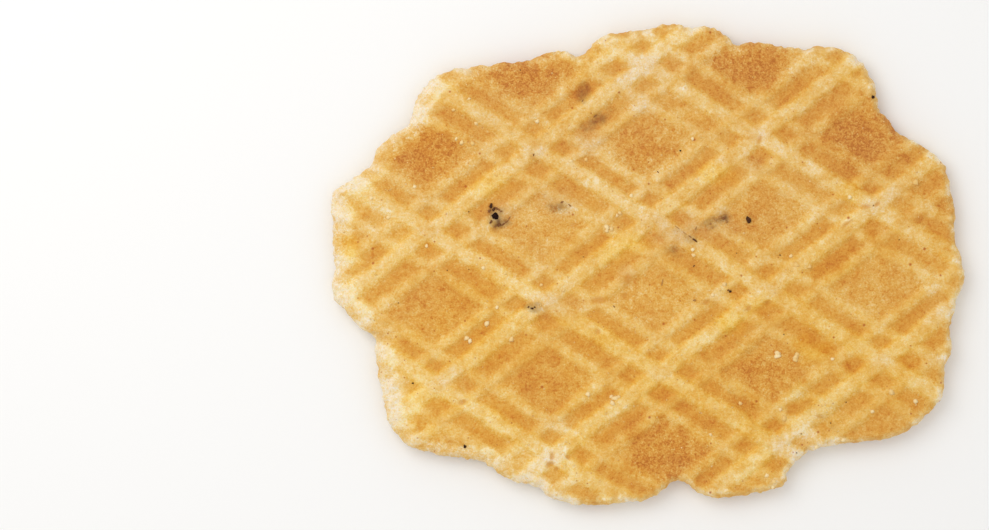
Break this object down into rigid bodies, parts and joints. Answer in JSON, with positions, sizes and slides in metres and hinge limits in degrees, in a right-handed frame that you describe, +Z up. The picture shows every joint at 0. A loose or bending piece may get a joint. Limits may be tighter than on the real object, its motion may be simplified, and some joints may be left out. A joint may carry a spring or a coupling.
{
  "type": "black pepper cracker",
  "caption": "Thin oval savoury cracker with a ragged rim and a waffle-iron lattice of ridges on both faces, flecked with ground pepper.",
  "frame": {"origin": "on the plane that the cracker rests on, under the middle of its box", "axes": "+X along the cracker's length, +Y across it, +Z up out of the face that shows"},
  "size_m": [0.0704, 0.0536, 0.0033],
  "materials": {
    "baked_crust": "dry matt baked wheat dough, golden, paler on the ridges and the rim, browner on some of the flat diamonds",
    "ground_pepper": "matt, nearly black, grey-brown where the dough covers it",
    "pale_crumb": "dry pale crumbs of baked dough"
  },
  "bodies": {
    "root": {"cracker": "baked_crust"}
  },
  "joints": []
}
